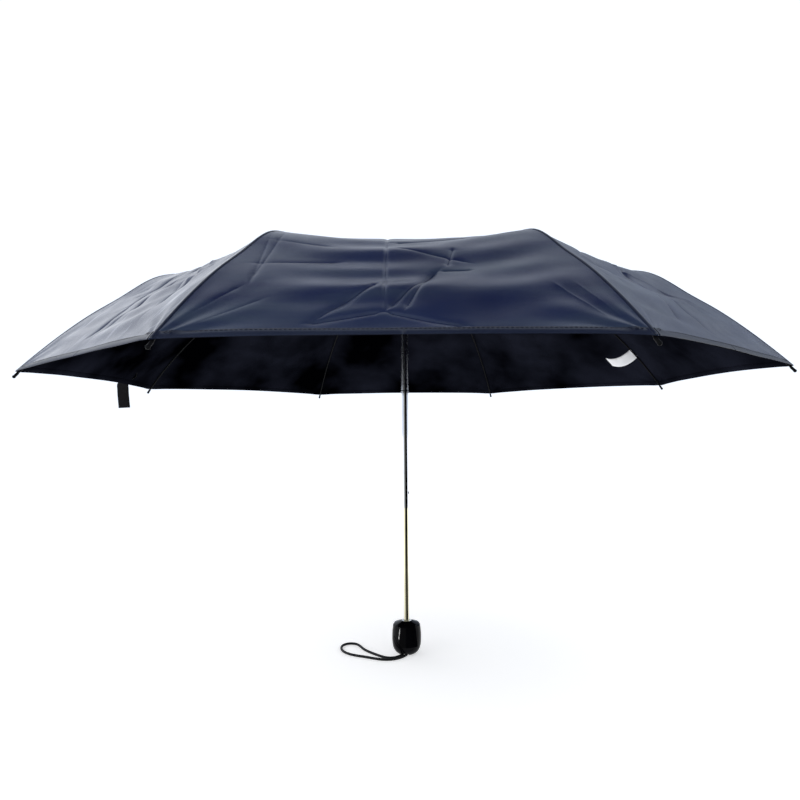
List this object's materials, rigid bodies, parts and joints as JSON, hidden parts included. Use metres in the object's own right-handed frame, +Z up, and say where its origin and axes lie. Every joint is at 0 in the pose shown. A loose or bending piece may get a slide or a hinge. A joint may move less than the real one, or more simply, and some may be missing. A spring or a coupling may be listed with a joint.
{
  "type": "folding umbrella",
  "caption": "Compact folding umbrella, open: telescopic metal shaft, folding ribs with stretchers and a runner, sewn dark canopy, short black handle with a wrist cord.",
  "frame": {"origin": "centre of the handle's flat foot, on the shaft's axis", "axes": "+Z up the shaft towards the crown; -Y towards the panel that faces the front"},
  "size_m": [0.897, 0.897, 0.5518],
  "materials": {
    "canopy_cloth": "dark navy woven polyester, slight sheen",
    "strap_cloth": "black webbing",
    "label_cloth": "blank white satin",
    "cord": "black braided cord",
    "handle_plastic": "gloss black",
    "cap_plastic": "satin dark grey",
    "chrome_tube": "bright plated steel",
    "lower_tube_metal": "pale gold plated",
    "rib_steel": "dark plated steel",
    "black_plastic": "black moulded",
    "rivet_steel": "zinc plated"
  },
  "bodies": {
    "handle": {"handle_shell": "handle_plastic", "handle_front_panel": "handle_plastic", "handle_end_cap": "cap_plastic", "lower_tube": "lower_tube_metal", "wrist_cord": "cord"},
    "middle_shaft": {"middle_tube": "chrome_tube"},
    "crown": {"top_tube": "chrome_tube", "top_tube_collar": "chrome_tube", "top_notch": "black_plastic", "top_notch_pins": "rivet_steel", "cap_washer": "black_plastic", "ferrule_cap": "black_plastic", "tie_strap": "strap_cloth", "care_label": "label_cloth", "canopy_panel_1": "canopy_cloth", "canopy_panel_2": "canopy_cloth", "canopy_panel_3": "canopy_cloth", "canopy_panel_4": "canopy_cloth", "canopy_panel_5": "canopy_cloth", "canopy_panel_6": "canopy_cloth", "canopy_panel_7": "canopy_cloth", "canopy_panel_8": "canopy_cloth"},
    "runner": {"runner": "black_plastic", "runner_pins": "rivet_steel"},
    "lower_tube_catch": {"lower_tube_catch": "rivet_steel"},
    "middle_tube_catch": {"middle_tube_catch": "rivet_steel"},
    "runner_catch": {"runner_catch": "rivet_steel"},
    "top_rib_1": {"top_rib_1": "rib_steel"},
    "middle_rib_1": {"middle_rib_1": "rib_steel"},
    "outer_rib_1": {"outer_rib_1": "rib_steel"},
    "stretcher_1": {"stretcher_1": "rib_steel"},
    "top_rib_2": {"top_rib_2": "rib_steel"},
    "middle_rib_2": {"middle_rib_2": "rib_steel"},
    "outer_rib_2": {"outer_rib_2": "rib_steel"},
    "stretcher_2": {"stretcher_2": "rib_steel"},
    "top_rib_3": {"top_rib_3": "rib_steel"},
    "middle_rib_3": {"middle_rib_3": "rib_steel"},
    "outer_rib_3": {"outer_rib_3": "rib_steel"},
    "stretcher_3": {"stretcher_3": "rib_steel"},
    "top_rib_4": {"top_rib_4": "rib_steel"},
    "middle_rib_4": {"middle_rib_4": "rib_steel"},
    "outer_rib_4": {"outer_rib_4": "rib_steel"},
    "stretcher_4": {"stretcher_4": "rib_steel"},
    "top_rib_5": {"top_rib_5": "rib_steel"},
    "middle_rib_5": {"middle_rib_5": "rib_steel"},
    "outer_rib_5": {"outer_rib_5": "rib_steel"},
    "stretcher_5": {"stretcher_5": "rib_steel"},
    "top_rib_6": {"top_rib_6": "rib_steel"},
    "middle_rib_6": {"middle_rib_6": "rib_steel"},
    "outer_rib_6": {"outer_rib_6": "rib_steel"},
    "stretcher_6": {"stretcher_6": "rib_steel"},
    "top_rib_7": {"top_rib_7": "rib_steel"},
    "middle_rib_7": {"middle_rib_7": "rib_steel"},
    "outer_rib_7": {"outer_rib_7": "rib_steel"},
    "stretcher_7": {"stretcher_7": "rib_steel"},
    "top_rib_8": {"top_rib_8": "rib_steel"},
    "middle_rib_8": {"middle_rib_8": "rib_steel"},
    "outer_rib_8": {"outer_rib_8": "rib_steel"},
    "stretcher_8": {"stretcher_8": "rib_steel"}
  },
  "joints": [
    {"name": "lower_slide", "type": "slide", "parent": "handle", "child": "middle_shaft", "axis": [0, 0, 1], "range_m": [-0.145, 0], "deforming": ["lower_tube_catch"]},
    {"name": "upper_slide", "type": "slide", "parent": "middle_shaft", "child": "crown", "axis": [0, 0, 1], "range_m": [-0.145, 0], "deforming": ["middle_tube_catch"]},
    {"name": "runner_slide", "type": "slide", "parent": "crown", "child": "runner", "axis": [0, 0, 1], "range_m": [-0.07786, 0], "deforming": ["runner_catch", "tie_strap", "care_label", "canopy_panel_1", "canopy_panel_2", "canopy_panel_3", "canopy_panel_4", "canopy_panel_5", "canopy_panel_6", "canopy_panel_7", "canopy_panel_8"]},
    {"name": "lower_catch_press", "type": "slide", "parent": "handle", "child": "lower_tube_catch", "axis": [1, 0, 0], "range_m": [-0.0012, 0], "stiffness_N_per_m": 300, "springref_m": 0.001},
    {"name": "middle_catch_press", "type": "slide", "parent": "middle_shaft", "child": "middle_tube_catch", "axis": [1, 0, 0], "range_m": [-0.0012, 0], "stiffness_N_per_m": 300, "springref_m": 0.001},
    {"name": "runner_catch_press", "type": "slide", "parent": "crown", "child": "runner_catch", "axis": [1, 0, 0], "range_m": [-0.0013, 0], "stiffness_N_per_m": 300, "springref_m": 0.001},
    {"name": "top_rib_hinge_1", "type": "hinge", "parent": "crown", "child": "top_rib_1", "pos_m": [0.01109, 0.00459, 0.5356], "axis": [-0.3827, 0.9239, 0], "range_deg": [0, 87.7]},
    {"name": "inner_joint_1", "type": "hinge", "parent": "top_rib_1", "child": "middle_rib_1", "pos_m": [0.15796, 0.06543, 0.53154], "axis": [-0.3827, 0.9239, 0], "range_deg": [-181.2, 0]},
    {"name": "knee_1", "type": "hinge", "parent": "middle_rib_1", "child": "outer_rib_1", "pos_m": [0.30388, 0.12587, 0.5055], "axis": [-0.3827, 0.9239, 0], "range_deg": [0, 143.43]},
    {"name": "stretcher_hinge_1", "type": "hinge", "parent": "runner", "child": "stretcher_1", "pos_m": [0.00785, 0.00325, 0.4726], "axis": [-0.3827, 0.9239, 0], "range_deg": [-42.16, 0]},
    {"name": "top_rib_hinge_2", "type": "hinge", "parent": "crown", "child": "top_rib_2", "pos_m": [0.00459, 0.01109, 0.5356], "axis": [-0.9239, 0.3827, 0], "range_deg": [0, 87.7]},
    {"name": "inner_joint_2", "type": "hinge", "parent": "top_rib_2", "child": "middle_rib_2", "pos_m": [0.06543, 0.15796, 0.53154], "axis": [-0.9239, 0.3827, 0], "range_deg": [-181.2, 0]},
    {"name": "knee_2", "type": "hinge", "parent": "middle_rib_2", "child": "outer_rib_2", "pos_m": [0.12587, 0.30388, 0.5055], "axis": [-0.9239, 0.3827, 0], "range_deg": [0, 143.43]},
    {"name": "stretcher_hinge_2", "type": "hinge", "parent": "runner", "child": "stretcher_2", "pos_m": [0.00325, 0.00785, 0.4726], "axis": [-0.9239, 0.3827, 0], "range_deg": [-42.16, 0]},
    {"name": "top_rib_hinge_3", "type": "hinge", "parent": "crown", "child": "top_rib_3", "pos_m": [-0.00459, 0.01109, 0.5356], "axis": [-0.9239, -0.3827, 0], "range_deg": [0, 87.7]},
    {"name": "inner_joint_3", "type": "hinge", "parent": "top_rib_3", "child": "middle_rib_3", "pos_m": [-0.06543, 0.15796, 0.53154], "axis": [-0.9239, -0.3827, 0], "range_deg": [-181.2, 0]},
    {"name": "knee_3", "type": "hinge", "parent": "middle_rib_3", "child": "outer_rib_3", "pos_m": [-0.12587, 0.30388, 0.5055], "axis": [-0.9239, -0.3827, 0], "range_deg": [0, 143.43]},
    {"name": "stretcher_hinge_3", "type": "hinge", "parent": "runner", "child": "stretcher_3", "pos_m": [-0.00325, 0.00785, 0.4726], "axis": [-0.9239, -0.3827, 0], "range_deg": [-42.16, 0]},
    {"name": "top_rib_hinge_4", "type": "hinge", "parent": "crown", "child": "top_rib_4", "pos_m": [-0.01109, 0.00459, 0.5356], "axis": [-0.3827, -0.9239, 0], "range_deg": [0, 87.7]},
    {"name": "inner_joint_4", "type": "hinge", "parent": "top_rib_4", "child": "middle_rib_4", "pos_m": [-0.15796, 0.06543, 0.53154], "axis": [-0.3827, -0.9239, 0], "range_deg": [-181.2, 0]},
    {"name": "knee_4", "type": "hinge", "parent": "middle_rib_4", "child": "outer_rib_4", "pos_m": [-0.30388, 0.12587, 0.5055], "axis": [-0.3827, -0.9239, 0], "range_deg": [0, 143.43]},
    {"name": "stretcher_hinge_4", "type": "hinge", "parent": "runner", "child": "stretcher_4", "pos_m": [-0.00785, 0.00325, 0.4726], "axis": [-0.3827, -0.9239, 0], "range_deg": [-42.16, 0]},
    {"name": "top_rib_hinge_5", "type": "hinge", "parent": "crown", "child": "top_rib_5", "pos_m": [-0.01109, -0.00459, 0.5356], "axis": [0.3827, -0.9239, 0], "range_deg": [0, 87.7]},
    {"name": "inner_joint_5", "type": "hinge", "parent": "top_rib_5", "child": "middle_rib_5", "pos_m": [-0.15796, -0.06543, 0.53154], "axis": [0.3827, -0.9239, 0], "range_deg": [-181.2, 0]},
    {"name": "knee_5", "type": "hinge", "parent": "middle_rib_5", "child": "outer_rib_5", "pos_m": [-0.30388, -0.12587, 0.5055], "axis": [0.3827, -0.9239, 0], "range_deg": [0, 143.43]},
    {"name": "stretcher_hinge_5", "type": "hinge", "parent": "runner", "child": "stretcher_5", "pos_m": [-0.00785, -0.00325, 0.4726], "axis": [0.3827, -0.9239, 0], "range_deg": [-42.16, 0]},
    {"name": "top_rib_hinge_6", "type": "hinge", "parent": "crown", "child": "top_rib_6", "pos_m": [-0.00459, -0.01109, 0.5356], "axis": [0.9239, -0.3827, 0], "range_deg": [0, 87.7]},
    {"name": "inner_joint_6", "type": "hinge", "parent": "top_rib_6", "child": "middle_rib_6", "pos_m": [-0.06543, -0.15796, 0.53154], "axis": [0.9239, -0.3827, 0], "range_deg": [-181.2, 0]},
    {"name": "knee_6", "type": "hinge", "parent": "middle_rib_6", "child": "outer_rib_6", "pos_m": [-0.12587, -0.30388, 0.5055], "axis": [0.9239, -0.3827, 0], "range_deg": [0, 143.43]},
    {"name": "stretcher_hinge_6", "type": "hinge", "parent": "runner", "child": "stretcher_6", "pos_m": [-0.00325, -0.00785, 0.4726], "axis": [0.9239, -0.3827, 0], "range_deg": [-42.16, 0]},
    {"name": "top_rib_hinge_7", "type": "hinge", "parent": "crown", "child": "top_rib_7", "pos_m": [0.00459, -0.01109, 0.5356], "axis": [0.9239, 0.3827, 0], "range_deg": [0, 87.7]},
    {"name": "inner_joint_7", "type": "hinge", "parent": "top_rib_7", "child": "middle_rib_7", "pos_m": [0.06543, -0.15796, 0.53154], "axis": [0.9239, 0.3827, 0], "range_deg": [-181.2, 0]},
    {"name": "knee_7", "type": "hinge", "parent": "middle_rib_7", "child": "outer_rib_7", "pos_m": [0.12587, -0.30388, 0.5055], "axis": [0.9239, 0.3827, 0], "range_deg": [0, 143.43]},
    {"name": "stretcher_hinge_7", "type": "hinge", "parent": "runner", "child": "stretcher_7", "pos_m": [0.00325, -0.00785, 0.4726], "axis": [0.9239, 0.3827, 0], "range_deg": [-42.16, 0]},
    {"name": "top_rib_hinge_8", "type": "hinge", "parent": "crown", "child": "top_rib_8", "pos_m": [0.01109, -0.00459, 0.5356], "axis": [0.3827, 0.9239, 0], "range_deg": [0, 87.7]},
    {"name": "inner_joint_8", "type": "hinge", "parent": "top_rib_8", "child": "middle_rib_8", "pos_m": [0.15796, -0.06543, 0.53154], "axis": [0.3827, 0.9239, 0], "range_deg": [-181.2, 0]},
    {"name": "knee_8", "type": "hinge", "parent": "middle_rib_8", "child": "outer_rib_8", "pos_m": [0.30388, -0.12587, 0.5055], "axis": [0.3827, 0.9239, 0], "range_deg": [0, 143.43]},
    {"name": "stretcher_hinge_8", "type": "hinge", "parent": "runner", "child": "stretcher_8", "pos_m": [0.00785, -0.00325, 0.4726], "axis": [0.3827, 0.9239, 0], "range_deg": [-42.16, 0]}
  ],
  "couplings": [
    {"joint": "top_rib_hinge_1", "follows": "runner_slide", "rad_per_m": -19.637},
    {"joint": "inner_joint_1", "follows": "runner_slide", "rad_per_m": 40.596},
    {"joint": "knee_1", "follows": "runner_slide", "rad_per_m": -32.13},
    {"joint": "stretcher_hinge_1", "follows": "runner_slide", "rad_per_m": 9.4291},
    {"joint": "top_rib_hinge_2", "follows": "runner_slide", "rad_per_m": -19.637},
    {"joint": "inner_joint_2", "follows": "runner_slide", "rad_per_m": 40.596},
    {"joint": "knee_2", "follows": "runner_slide", "rad_per_m": -32.13},
    {"joint": "stretcher_hinge_2", "follows": "runner_slide", "rad_per_m": 9.4291},
    {"joint": "top_rib_hinge_3", "follows": "runner_slide", "rad_per_m": -19.637},
    {"joint": "inner_joint_3", "follows": "runner_slide", "rad_per_m": 40.596},
    {"joint": "knee_3", "follows": "runner_slide", "rad_per_m": -32.13},
    {"joint": "stretcher_hinge_3", "follows": "runner_slide", "rad_per_m": 9.4291},
    {"joint": "top_rib_hinge_4", "follows": "runner_slide", "rad_per_m": -19.637},
    {"joint": "inner_joint_4", "follows": "runner_slide", "rad_per_m": 40.596},
    {"joint": "knee_4", "follows": "runner_slide", "rad_per_m": -32.13},
    {"joint": "stretcher_hinge_4", "follows": "runner_slide", "rad_per_m": 9.4291},
    {"joint": "top_rib_hinge_5", "follows": "runner_slide", "rad_per_m": -19.637},
    {"joint": "inner_joint_5", "follows": "runner_slide", "rad_per_m": 40.596},
    {"joint": "knee_5", "follows": "runner_slide", "rad_per_m": -32.13},
    {"joint": "stretcher_hinge_5", "follows": "runner_slide", "rad_per_m": 9.4291},
    {"joint": "top_rib_hinge_6", "follows": "runner_slide", "rad_per_m": -19.637},
    {"joint": "inner_joint_6", "follows": "runner_slide", "rad_per_m": 40.596},
    {"joint": "knee_6", "follows": "runner_slide", "rad_per_m": -32.13},
    {"joint": "stretcher_hinge_6", "follows": "runner_slide", "rad_per_m": 9.4291},
    {"joint": "top_rib_hinge_7", "follows": "runner_slide", "rad_per_m": -19.637},
    {"joint": "inner_joint_7", "follows": "runner_slide", "rad_per_m": 40.596},
    {"joint": "knee_7", "follows": "runner_slide", "rad_per_m": -32.13},
    {"joint": "stretcher_hinge_7", "follows": "runner_slide", "rad_per_m": 9.4291},
    {"joint": "top_rib_hinge_8", "follows": "runner_slide", "rad_per_m": -19.637},
    {"joint": "inner_joint_8", "follows": "runner_slide", "rad_per_m": 40.596},
    {"joint": "knee_8", "follows": "runner_slide", "rad_per_m": -32.13},
    {"joint": "stretcher_hinge_8", "follows": "runner_slide", "rad_per_m": 9.4291}
  ]
}
